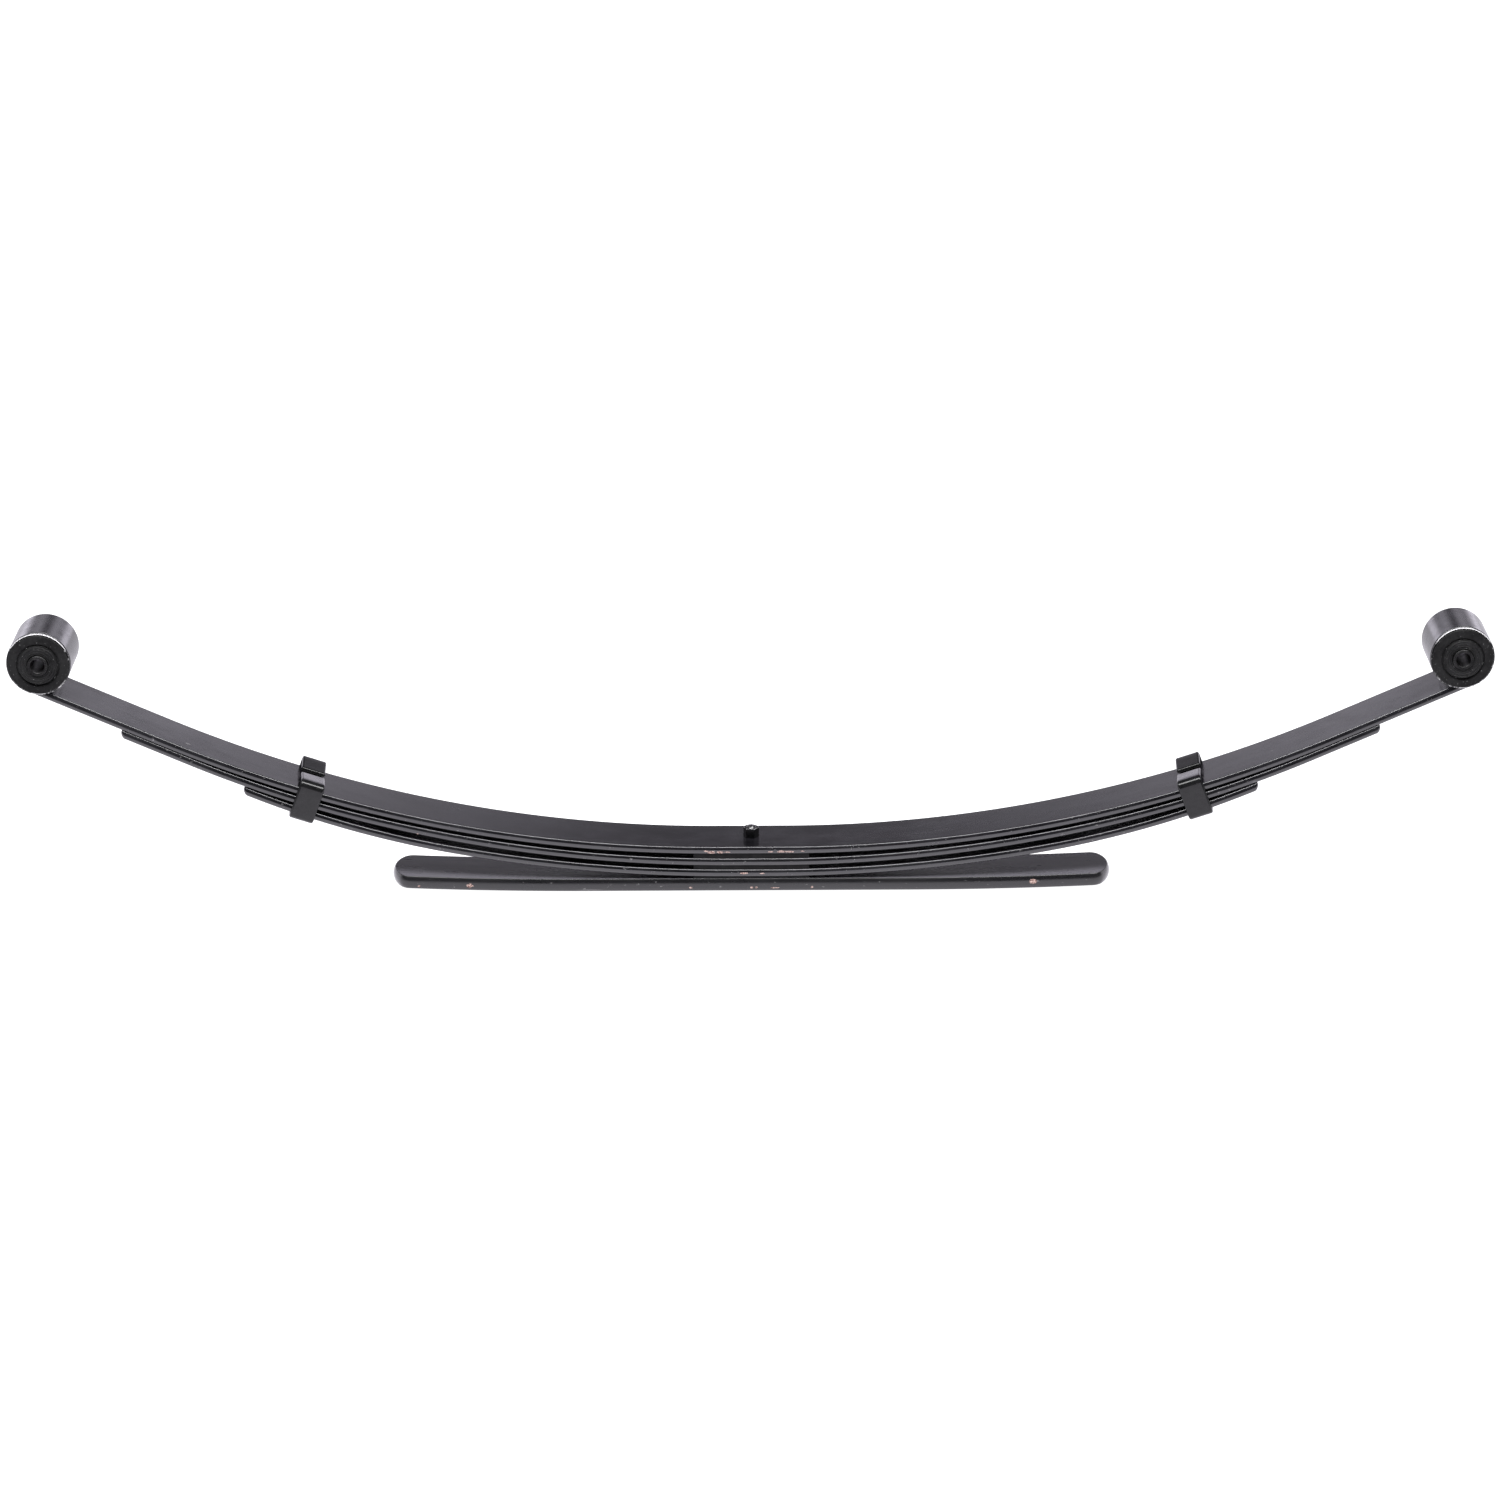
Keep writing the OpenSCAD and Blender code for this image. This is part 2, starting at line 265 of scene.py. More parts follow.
def arc2(cx, cy, r, a0, a1, n):
    return [(cx + r * math.cos(D(a0 + (a1 - a0) * i / n)), cy + r * math.sin(D(a0 + (a1 - a0) * i / n))) for i in range(n + 1)]


# ---------------------------------------------------------------- materials
class Nodes:
    def __init__(self, name):
        self.mat = bpy.data.materials.new(name)
        self.mat.use_nodes = True
        self.t = self.mat.node_tree
        self.b = self.t.nodes["Principled BSDF"]
        self.co = self.new("ShaderNodeTexCoord").outputs["Object"]

    def new(self, kind, **props):
        n = self.t.nodes.new(kind)
        for k, v in props.items():
            setattr(n, k, v)
        return n

    def link(self, a, b):
        self.t.links.new(a, b)

    def put(self, socket, v):
        if isinstance(v, (int, float)):
            socket.default_value = v
        elif isinstance(v, (tuple, list)):
            socket.default_value = v
        else:
            self.link(v, socket)

    def math(self, op, a, b=0.0, c=0.0, clamp=False):
        n = self.new("ShaderNodeMath", operation=op)
        n.use_clamp = clamp
        self.put(n.inputs[0], a)
        self.put(n.inputs[1], b)
        if op in ("MULTIPLY_ADD", "COMPARE", "SMOOTH_MIN", "SMOOTH_MAX"):
            self.put(n.inputs[2], c)
        return n.outputs[0]

    def ramp(self, v, a, b, lo=0.0, hi=1.0, smooth=True):
        n = self.new("ShaderNodeMapRange")
        n.interpolation_type = "SMOOTHSTEP" if smooth else "LINEAR"
        n.clamp = True
        self.put(n.inputs["Value"], v)
        n.inputs["From Min"].default_value = a
        n.inputs["From Max"].default_value = b
        n.inputs["To Min"].default_value = lo
        n.inputs["To Max"].default_value = hi
        return n.outputs["Result"]

    def noise(self, scale, detail=4.0, rough=0.55, stretch=(1, 1, 1), offset=(0, 0, 0), distort=0.0):
        m = self.new("ShaderNodeMapping")
        self.link(self.co, m.inputs["Vector"])
        m.inputs["Scale"].default_value = stretch
        m.inputs["Location"].default_value = offset
        n = self.new("ShaderNodeTexNoise")
        self.link(m.outputs["Vector"], n.inputs["Vector"])
        n.inputs["Scale"].default_value = scale
        n.inputs["Detail"].default_value = detail
        n.inputs["Roughness"].default_value = rough
        n.inputs["Distortion"].default_value = distort
        return n.outputs["Fac"]

    def xyz(self):
        n = self.new("ShaderNodeSeparateXYZ")
        self.link(self.co, n.inputs[0])
        return n.outputs

    def mix(self, fac, a, b):
        n = self.new("ShaderNodeMix", data_type="RGBA")
        self.put(n.inputs["Factor"], fac)
        self.put(n.inputs[6], a)
        self.put(n.inputs[7], b)
        return n.outputs[2]

    def normal_z(self):
        g = self.new("ShaderNodeNewGeometry")
        n = self.new("ShaderNodeSeparateXYZ")
        self.link(g.outputs["Normal"], n.inputs[0])
        return n.outputs["Z"]

    def bump(self, parts):
        """Chain of (height, strength, distance in metres)."""
        last = None
        for h, strength, dist in parts:
            n = self.new("ShaderNodeBump")
            n.inputs["Strength"].default_value = strength
            n.inputs["Distance"].default_value = dist
            self.link(h, n.inputs["Height"])
            if last is not None:
                self.link(last, n.inputs["Normal"])
            last = n.outputs["Normal"]
        self.link(last, self.b.inputs["Normal"])

    def near_spot(self, x, z, rx, rz, wob):
        """1 inside a ragged spot at x, z (metres) seen along Y."""
        X, _Y, Z = self.xyz()
        dx = self.math("DIVIDE", self.math("SUBTRACT", X, x), rx)
        dz = self.math("DIVIDE", self.math("SUBTRACT", Z, z), rz)
        d = self.math("SQRT", self.math("ADD", self.math("MULTIPLY", dx, dx), self.math("MULTIPLY", dz, dz)))
        d = self.math("ADD", d, self.math("MULTIPLY", self.math("SUBTRACT", wob, 0.5), 2.6))
        return self.ramp(d, 0.85, 1.05, 1.0, 0.0)


def leaf_paint(name, dark, light, rough, spots=(), chip=0.62, streak=1.0, near_y=30.2, eye=False, line=(0.034, 0.033, 0.038, 1), spec=0.75, sides=None):
    """Black paint on rolled spring steel: mottled, slightly streaked along the leaf, chipped to steel and rust at its
    edges, with a painted edge line along its upper corners (a painted highlight on most leaves, painted edge shade on
    the overload leaf).
    """
    p = Nodes(name)
    X, Y, Z = p.xyz()
    cloud = p.noise(9.0, 5.0, 0.6)
    grain = p.noise(420.0, 3.0, 0.6, (0.12, 1, 1), (3, 1, 2))
    mott = p.noise(70.0, 4.0, 0.65, (0.5, 1, 1), (7, 3, 5))
    v = p.math("ADD", p.math("MULTIPLY", cloud, 0.45), p.math("ADD", p.math("MULTIPLY", grain, 0.3 * streak), p.math("MULTIPLY", mott, 0.35)))
    base = p.mix(p.ramp(v, 0.38, 0.72), dark, light)
    # worn and dusty at the very edges
    ay = p.math("ABSOLUTE", Y)
    edge = p.ramp(ay, near_y * MM, (near_y + 1.2) * MM)
    chipn = p.noise(260.0, 5.0, 0.7, (0.55, 1, 1), (11, 5, 9))
    chips = p.math("MULTIPLY", edge, p.ramp(chipn, chip + 0.02, chip + 0.06), clamp=True)
    scr = p.noise(90.0, 2.0, 0.5, (0.07, 1.6, 1.6), (2, 8, 4))
    fine = p.math("MULTIPLY", p.ramp(scr, 0.735, 0.76), p.ramp(p.noise(14.0, 2.0, 0.5, (1, 1, 1), (5, 9, 1)), 0.5, 0.62))
    wear = p.math("MAXIMUM", p.math("MULTIPLY", chips, 0.75), p.math("MULTIPLY", fine, 0.5))
    # the upper corners, picked by how far they face up, get a thin line in the line colour: a painted highlight on most
    # leaves, painted edge shade on the overload leaf; noise breaks it up
    nz = p.normal_z()
    corner = p.math("MULTIPLY", p.ramp(nz, 0.42, 0.58), p.ramp(nz, 0.86, 0.96, 1.0, 0.0))
    corner = p.math("MULTIPLY", corner, p.ramp(p.noise(24.0, 4.0, 0.65, (1, 1, 1), (6, 1, 8)), 0.36, 0.56, 0.3, 1.0))
    if sides:
        # the top face keeps the leaf's colours and the other faces take the darker sides colour: a painted sheen on the
        # top face
        base = p.mix(p.ramp(nz, 0.80, 0.97), sides, base)
    base = p.mix(corner, base, line)
    col = p.mix(wear, base, (0.17, 0.165, 0.17, 1))
    rustmask = None
    if spots:
        wob = p.noise(330.0, 4.0, 0.7, (0.7, 1, 1), (1, 2, 3))
        tone = p.noise(600.0, 3.0, 0.6, (1, 1, 1), (4, 4, 1))
        side = p.ramp(Y, -0.0296, -0.0304, 0.0, 1.0)
        for x, z, rx, rz in spots:
            s = p.math("MULTIPLY", p.near_spot(x * MM, z * MM, rx * MM, rz * MM, wob), side)
            rustmask = s if rustmask is None else p.math("MAXIMUM", rustmask, s)
        rust = p.mix(p.ramp(tone, 0.38, 0.60), (0.10, 0.036, 0.028, 1), (0.48, 0.35, 0.32, 1))
        col = p.mix(rustmask, col, rust)
    p.link(col, p.b.inputs["Base Color"])
    smear = p.noise(46.0, 4.0, 0.6, (0.09, 1.5, 1.2), (3, 6, 9))
    haze = p.math("ADD", p.math("MULTIPLY", cloud, 0.5), p.math("MULTIPLY", smear, 0.5))
    r = p.math("ADD", rough, p.math("MULTIPLY", p.math("SUBTRACT", haze, 0.5), 0.55))
    r = p.math("ADD", r, p.math("MULTIPLY", p.math("SUBTRACT", mott, 0.5), 0.18))
    r = p.math("ADD", r, p.math("MULTIPLY", wear, 0.15))
    if rustmask is not None:
        r = p.math("MAXIMUM", r, p.math("MULTIPLY", rustmask, 0.7))
    if eye:
        # the rolled eyes are polished by handling
        ax = p.math("ABSOLUTE", X)
        roll = p.math("MULTIPLY", p.ramp(ax, 0.672, 0.684), p.ramp(Z, 0.218, 0.228))
        r = p.math("MULTIPLY", r, p.math("SUBTRACT", 1.0, p.math("MULTIPLY", roll, -0.10)))
    p.link(r, p.b.inputs["Roughness"])
    p.b.inputs["IOR"].default_value = 1.5
    p.b.inputs["Specular IOR Level"].default_value = spec
    p.bump([
        (p.noise(40.0, 3.0, 0.5, (0.30, 1, 1), (9, 9, 2)), 0.12, 0.0016),
        (p.noise(700.0, 3.0, 0.6, (0.25, 1, 1)), 0.07, 0.00025),
        (p.math("MAXIMUM", wear, rustmask) if rustmask is not None else wear, 0.25, -0.0002),
    ])
    return p.mat


def plain_paint(name, dark, light, rough, bump=0.12, scale=160.0, spec=0.5, chip=0.69, chipcol=(0.2, 0.195, 0.19, 1), rub=None):
    p = Nodes(name)
    a = p.noise(scale, 4.0, 0.6)
    b = p.noise(30.0, 3.0, 0.55, (1, 1, 1), (4, 7, 1))
    v = p.math("ADD", p.math("MULTIPLY", a, 0.6), p.math("MULTIPLY", b, 0.4))
    chips = p.math("MULTIPLY", p.ramp(p.noise(240.0, 5.0, 0.7, (1, 1, 1), (8, 2, 6)), chip, chip + 0.03), 0.5)
    body = p.mix(p.ramp(v, 0.38, 0.66), dark, light)
    # the rub colour lightens the upward-facing chamfer, a painted highlight standing in for glints, broken up by noise
    if rub:
        nz = p.normal_z()
        corner = p.math("MULTIPLY", p.ramp(nz, 0.25, 0.45), p.ramp(nz, 0.90, 0.97, 1.0, 0.0))
        body = p.mix(p.math("MULTIPLY", corner, p.ramp(p.noise(260.0, 4.0, 0.7, (1, 1, 1), (3, 3, 7)), 0.40, 0.56)), body, rub)
    col = p.mix(chips, body, chipcol)
    p.link(col, p.b.inputs["Base Color"])
    p.link(p.math("ADD", rough, p.math("MULTIPLY", p.math("SUBTRACT", b, 0.5), 0.3)), p.b.inputs["Roughness"])
    p.b.inputs["IOR"].default_value = 1.5
    p.b.inputs["Specular IOR Level"].default_value = spec
    p.bump([(b, 0.12, 0.0012), (p.noise(900.0, 3.0, 0.6), bump, 0.0003)])
    return p.mat


def rubber_mat(name):
    p = Nodes(name)
    a = p.noise(260.0, 5.0, 0.65)
    b = p.noise(40.0, 3.0, 0.5, (1, 1, 1), (2, 3, 4))
    v = p.math("ADD", p.math("MULTIPLY", a, 0.5), p.math("MULTIPLY", b, 0.5))
    dust = p.math("MULTIPLY", p.ramp(p.noise(420.0, 3.0, 0.6, (1, 1, 1), (9, 2, 6)), 0.66, 0.70), 0.8)
    p.link(p.mix(dust, p.mix(p.ramp(v, 0.35, 0.7), (0.0022, 0.0022, 0.0024, 1), (0.0105, 0.0105, 0.0110, 1)), (0.14, 0.14, 0.142, 1)), p.b.inputs["Base Color"])
    p.link(p.ramp(v, 0.3, 0.7, 0.42, 0.68), p.b.inputs["Roughness"])
    p.b.inputs["IOR"].default_value = 1.5
    p.b.inputs["Specular IOR Level"].default_value = 0.22
    p.bump([(b, 0.15, 0.001), (p.noise(1100.0, 3.0, 0.6), 0.2, 0.0002)])
    return p.mat


def rim_paint(name):
    """Black paint on the flanged sleeve, lightened along the upper, upward-facing rim as a painted highlight broken up
    by nicks, and chipped lower down.
    """
    p = Nodes(name)
    X, Y, Z = p.xyz()
    b = p.noise(30.0, 3.0, 0.55, (1, 1, 1), (4, 7, 1))
    nick = p.noise(210.0, 5.0, 0.7, (1, 1, 1), (8, 2, 6))
    nz = p.normal_z()
    # the upward-facing top of the rim is painted light here, a painted highlight broken up by nicks
    upper = p.ramp(p.math("ADD", Z, p.math("MULTIPLY", p.math("SUBTRACT", nick, 0.5), 0.02)), 0.262, 0.270)
    rim = p.math("MULTIPLY", p.ramp(Y, -0.0328, -0.0331), p.ramp(nz, 0.10, 0.25))
    rim_highlight = p.math("MULTIPLY", p.math("MULTIPLY", upper, rim), p.ramp(nick, 0.30, 0.42, 0.35, 1.0))
    low = p.math("MULTIPLY", p.ramp(Z, 0.236, 0.226), p.ramp(nick, 0.48, 0.53))
    flecks = p.math("MULTIPLY", p.ramp(nick, 0.60, 0.63), 0.7)
    # wear holds the painted rim highlight as well as the real chips and flecks
    wear = p.math("MAXIMUM", rim_highlight, p.math("MAXIMUM", p.math("MULTIPLY", low, 0.9), flecks))
    col = p.mix(wear, p.mix(p.ramp(b, 0.38, 0.66), (0.0030, 0.0030, 0.0034, 1), (0.0080, 0.0079, 0.0086, 1)), (0.50, 0.49, 0.51, 1))
    p.link(col, p.b.inputs["Base Color"])
    p.link(p.ramp(b, 0.3, 0.7, 0.2, 0.32), p.b.inputs["Roughness"])
    p.b.inputs["IOR"].default_value = 1.5
    p.b.inputs["Specular IOR Level"].default_value = 0.4
    p.bump([(b, 0.12, 0.0012), (p.noise(900.0, 3.0, 0.6), 0.15, 0.0003), (wear, 0.3, -0.0002)])
    return p.mat


def steel_mat(name, dark, light, rough, metal=1.0, axis_xz=None):
    p = Nodes(name)
    a = p.noise(120.0, 4.0, 0.65, (1, 1, 1), (1, 5, 2))
    b = p.noise(500.0, 4.0, 0.7, (1, 0.3, 1), (3, 5, 2))
    v = p.math("ADD", p.math("MULTIPLY", a, 0.6), p.math("MULTIPLY", b, 0.4))
    p.link(p.mix(p.ramp(v, 0.40, 0.62), dark, light), p.b.inputs["Base Color"])
    p.b.inputs["Metallic"].default_value = metal
    p.link(p.ramp(v, 0.35, 0.7, rough + 0.12, rough - 0.06), p.b.inputs["Roughness"])
    p.bump([(b, 0.12, 0.0003), (a, 0.1, 0.0006)])
    return p.mat


main_spots = [
    (-41.5, 42.4, 4.6, 1.7), (-32.0, 42.6, 3.2, 1.2), (-24.0, 42.8, 2.6, 0.6), (20.0, 43.0, 2.6, 0.8),
    (31.0, 43.2, 4.2, 1.0), (39.5, 43.0, 3.8, 1.0), (-46.0, 44.0, 2.0, 1.0), (52.0, 43.6, 2.2, 0.5),
]
leaf_spots = [
    (-8.5, 19.6, 4.2, 0.7), (10.5, 19.3, 2.4, 0.6), (-340.0, 63.6, 1.0, 1.0),
]
over_spots = [
    (-288.0, 7.2, 3.2, 2.0), (288.0, 9.6, 3.6, 2.2), (-340.0, 7.0, 1.5, 1.3), (-62.0, 4.0, 1.5, 1.0),
    (0.6, 3.6, 1.4, 1.2), (5.0, 3.8, 1.1, 1.0), (62.0, 4.2, 1.3, 1.2), (24.0, 3.4, 4.0, 0.6),
]

# the main and other leaves keep the pale default line colour, a painted highlight on their upper corners
M_MAIN = leaf_paint("main_leaf_paint", (0.0035, 0.0033, 0.0042, 1), (0.0105, 0.0100, 0.0124, 1), 0.175, main_spots, eye=True)
M_LEAF = leaf_paint("leaf_paint", (0.0030, 0.0029, 0.0037, 1), (0.0090, 0.0087, 0.0106, 1), 0.165, leaf_spots)
# overload leaf: its dark line colour is painted edge shade on the upper corners, and its light top colour against the
# dark sides colour is a painted sheen on the top face
M_OVER = leaf_paint("overload_paint", (0.0110, 0.0106, 0.0130, 1), (0.0750, 0.0722, 0.0835, 1), 0.29, over_spots, streak=2.4, line=(0.006, 0.0058, 0.007, 1), spec=0.55, sides=(0.0050, 0.0048, 0.0058, 1))
M_CLIP = plain_paint("clip_paint", (0.0040, 0.0040, 0.0044, 1), (0.0085, 0.0085, 0.0092, 1), 0.14, spec=0.3)
# the nut's rub colour is a painted highlight on its upper chamfer; the rivets share it
M_NUT = plain_paint("nut_paint", (0.0015, 0.0015, 0.0018, 1), (0.0040, 0.0040, 0.0045, 1), 0.26, spec=0.15, rub=(0.26, 0.255, 0.27, 1))
M_BOLT = steel_mat("bolt_steel", (0.020, 0.020, 0.022, 1), (0.22, 0.218, 0.22, 1), 0.26)
M_LINER = plain_paint("liner_mat", (0.0040, 0.0040, 0.0045, 1), (0.0095, 0.0092, 0.0100, 1), 0.55, 0.3, spec=0.12)
M_SHELL = rim_paint("sleeve_paint")
M_INNER = steel_mat("inner_sleeve_steel", (0.003, 0.003, 0.0035, 1), (0.020, 0.0195, 0.020, 1), 0.36, 0.6)
M_RUBBER = rubber_mat("bush_rubber")


# ---------------------------------------------------------------- leaves
def drill(ob, holes):
    """Cuts round holes through a leaf; each hole is (x, z, slope, radius) in mm."""
    for x, z, a, r in holes:
        bm = bmesh.new()
        bmesh.ops.create_cone(bm, cap_ends=True, segments=64, radius1=r * MM, radius2=r * MM, depth=0.05)
        me = bpy.data.meshes.new("cutter")
        bm.to_mesh(me)
        bm.free()
        c = bpy.data.objects.new("cutter", me)
        bpy.context.scene.collection.objects.link(c)
        c.matrix_world = Matrix.Translation((x * MM, 0, z * MM)) @ Matrix.Rotation(-a, 4, "Y")
        mod = ob.modifiers.new("hole", "BOOLEAN")
        mod.operation, mod.object, mod.solver = "DIFFERENCE", c, "EXACT"
        bpy.context.view_layer.update()
        dg = bpy.context.evaluated_depsgraph_get()
        new = bpy.data.meshes.new_from_object(ob.evaluated_get(dg))
        ob.modifiers.clear()
        old = ob.data
        ob.data = new
        new.name = old.name + "_cut"
        bpy.data.meshes.remove(old)
        bpy.data.objects.remove(c)
        bpy.data.meshes.remove(me)
        new.set_sharp_from_angle(angle=D(38))


# clip frame on the third leaf
t1x, t1z = 20.5 + 1514 * math.sin(D(10.73)), Z3 + 1514 * (1 - math.cos(D(10.73)))
CA = math.asin(math.sin(D(10.73)) + (457.5 - t1x) / (975 + LEAF_T))
CPX = t1x + 975 * (math.sin(CA) - math.sin(D(10.73))) + LEAF_T * math.sin(CA)
CPZ = t1z + 975 * (math.cos(D(10.73)) - math.cos(CA)) - LEAF_T * math.cos(CA)
am = math.asin((CPX - 36) / 1362)
mcx, mcz = 36 + 1362 * math.sin(am), Z1 + 1362 * (1 - math.cos(am))
STACK = (mcz - CPZ) * math.cos(CA) - (mcx - CPX) * math.sin(CA) + 0.6
HEAD = STACK + 5.5


def at_clip(side, yaw=0.0):
    def place(lx, y, lz):
        lx, y = lx * math.cos(yaw) + y * math.sin(yaw), y * math.cos(yaw) - lx * math.sin(yaw)
        return (side * (CPX + lx * math.cos(CA) - lz * math.sin(CA)), y, CPZ + lx * math.sin(CA) + lz * math.cos(CA))

    return place


prof = edge_profile(LEAF_T, 1.25, D(36))
v, f = strip(half_outline(leaf_stations(main_line, 6.0), HW, 2.4, 6), prof, on_line(main_line, LEAF_T, False))
main = make("main_leaf_look", v, f, M_MAIN, replaces=("main_leaf",))
drill(main, [(0, Z1 - 4, 0, 5.15)])

v, f = strip(half_outline(leaf_stations(second_line, 6.0), HW, 4.2), prof, on_line(second_line, LEAF_T))
second = make("second_leaf_look", v, f, M_LEAF, replaces=("second_leaf",))
drill(second, [(0, Z2 - 4, 0, 5.15)])

v, f = strip(half_outline(leaf_stations(third_line, 6.0), HW, 4.2), prof, on_line(third_line, LEAF_T))
third = make("third_leaf_look", v, f, M_LEAF, replaces=("third_leaf",))
clip_mid = at_clip(1)(0, 0, 4)
drill(third, [(0, Z3 - 4, 0, 5.15), (clip_mid[0], clip_mid[2], CA, 4.05), (-clip_mid[0], clip_mid[2], -CA, 4.05)])

# overload leaf: plan ends are arcs of radius 46, run into the sides by arcs of radius 14
OE, OF = 46.0, 14.0
half = over_line.length
fx0 = math.sqrt((OE - OF) ** 2 - (HW - OF) ** 2)
phi0 = math.atan2(HW - OF, fx0)
tip = []
for k in range(17):
    phi = D(2.5) + (phi0 - D(2.5)) * k / 16
    tip.append((half - OE + OE * math.cos(phi), OE * math.sin(phi), math.cos(phi), math.sin(phi)))
xs = half - OE + fx0
for k in range(1, 14):
    phi = phi0 + (math.pi / 2 - phi0) * k / 13.5
    tip.append((xs + OF * math.cos(phi), HW - OF + OF * math.sin(phi), math.cos(phi), math.sin(phi)))
mid = [xs - 1.5 - i * (2 * (xs - 1.5)) / 118 for i in range(119)]
outline = [(-s, y, -ns, ny) for s, y, ns, ny in tip] + [(s, HW, 0.0, 1.0) for s in reversed(mid)] + list(reversed(tip))
v, f = strip(outline, edge_profile(OVER_T, 0.8, D(30)), on_line(over_line, OVER_T, False))
over = make("overload_leaf_look", v, f, M_OVER, replaces=("overload_leaf",))
drill(over, [(0, 6, 0, 5.15)])

# ---------------------------------------------------------------- liners, kept from the CAD with eased edges
for n in ("upper_liner", "lower_liner", "seat_liner"):
    o = frame["nodes"][n]
    o.data.materials.clear()
    o.data.materials.append(M_LINER)
    b = o.modifiers.new("ease", "BEVEL")
    b.width, b.segments, b.limit_method, b.angle_limit = 0.0005, 2, "ANGLE", D(40)


# ---------------------------------------------------------------- clips
def strap_path(near_lean, far_lean):
    """Outer line of the clip in (y, z), as samples (s, y, z, angle), from the near tab's end round to the far tab's end."""
    ro, wo = 6.8, 37.85
    zb, zt = -4.5, HEAD + 4.5

    def side(lean):
        pts = [(0.0, 0.0, zb, 0.0)]
        y, z, a, s = 0.0, zb, 0.0, 0.0

        def go(length, n=1):
            nonlocal y, z, s
            for _ in range(n):
                y, z, s = y + length / n * math.cos(a), z + length / n * math.sin(a), s + length / n
                pts.append((s, y, z, a))

        def turn(to, r, n):
            nonlocal y, z, a, s
            a0 = a
            cy, cz = y - r * math.sin(a0), z + r * math.cos(a0)
            for i in range(1, n + 1):
                a = a0 + (to - a0) * i / n
                y, z = cy + r * math.sin(a), cz - r * math.cos(a)
                s += r * abs(to - a0) / n
                pts.append((s, y, z, a))

        go(wo - ro, 4)
        turn(math.pi / 2, ro, 9)
        go(zt - zb - 2 * ro, 4)
        turn(math.pi + lean, ro, 10)
        go((y - 3.9) / math.cos(lean), 5)
        return pts

    far, near = side(far_lean), side(near_lean)
    out = [(-s, -y, z, -a) for s, y, z, a in reversed(near)]
    return out + far[1:]


def strap_place(path, place):
    ss = np.array([p[0] for p in path])

    def fn(s, w, d):
        i = int(np.clip(np.searchsorted(ss, s) - 1, 0, len(path) - 2))
        u = (s - ss[i]) / (ss[i + 1] - ss[i])
        y = path[i][1] + u * (path[i + 1][1] - path[i][1])
        z = path[i][2] + u * (path[i + 1][2] - path[i][2])
        a = path[i][3] + min(max(u, 0.0), 1.0) * (path[i + 1][3] - path[i][3])
        return place(w, y - d * math.sin(a), z + d * math.cos(a))

    return fn


for side, who in ((-1, "front"), (1, "rear")):
    path = strap_path(D(6.5), D(4.0))
    v, f = strip(half_outline([p[0] for p in path], 12.7, 2.2, 6), edge_profile(4.5, 2.1, D(12), 0.5), strap_place(path, at_clip(side, D(4))), 1)
    clip = make(who + "_clip_look", v, f, M_CLIP, replaces=(who + "_clip",))
    drill(clip, [(side * (CPX + 2 * math.sin(CA)), CPZ - 2 * math.cos(CA), side * CA, 4.05)])

    # rivet: domed head below the strap, shank, flat head on the third leaf
    dome = [(7.6 * math.sin(D(a)), -4.5 + 0.0 - 3.7 * math.cos(D(a))) for a in (0.5, 12, 24, 36, 48, 60, 70, 80)]
    rv = dome + [(7.6, -4.55), (7.5, -4.5), (4.0, -4.5), (4.0, 7.9), (6.3, 7.9), (6.5, 8.1), (6.5, 9.3), (6.2, 9.7), (0.06, 9.7)]
    v, f = lathe_z(rv, at_clip(side), 64, close=False)
    make(who + "_rivet_look", v, f, M_NUT, replaces=(who + "_clip_rivet",))

# ---------------------------------------------------------------- tie bolt and nut
def up(x, y, z):
    return (x, y, z)


bp = [(0.06, -8.0), (6.6, -8.0), (7.2, -7.85), (7.65, -7.5), (7.9, -7.0), (7.95, -6.5), (7.95, -0.25), (7.8, -0.02), (4.75, -0.02)]
top = Z1 + 10.0 + 1.6
v, f = lathe_z(bp + [(4.75, Z1 - 2.0)], up, 96, close=False)
f = f[:-1]
nb = len(v)
# threaded end: helical crests of 1.25 mm pitch, fading into a chamfer
rows, seg, pitch = 84, 96, 1.25
z0 = Z1 - 2.0
for j in range(rows + 1):
    z = z0 + (top - z0) * j / rows
    for i in range(seg):
        th = 2 * math.pi * i / seg
        q = ((z / pitch - i / seg) % 1.0)
        depth = 0.62 * abs(2 * q - 1)
        r = 4.75 - depth * min(1.0, (z - z0) / 1.2)
        r = min(r, 4.75 - max(0.0, z - (top - 0.9)) * 1.0)
        v.append((r * math.cos(th), r * math.sin(th), z))
for j in range(rows):
    for i in range(seg):
        k = (i + 1) % seg
        f.append((nb + j * seg + i, nb + j * seg + k, nb + (j + 1) * seg + k, nb + (j + 1) * seg + i))
f.append([nb + rows * seg + i for i in range(seg)])
m = len(bp) + 1
for i in range(seg):
    j = (i + 1) % seg
    f.append((i * m + m - 1, j * m + m - 1, nb + j, nb + i))
make("centre_bolt_look", v, f, M_BOLT, replaces=("centre_bolt",), sharp=60)

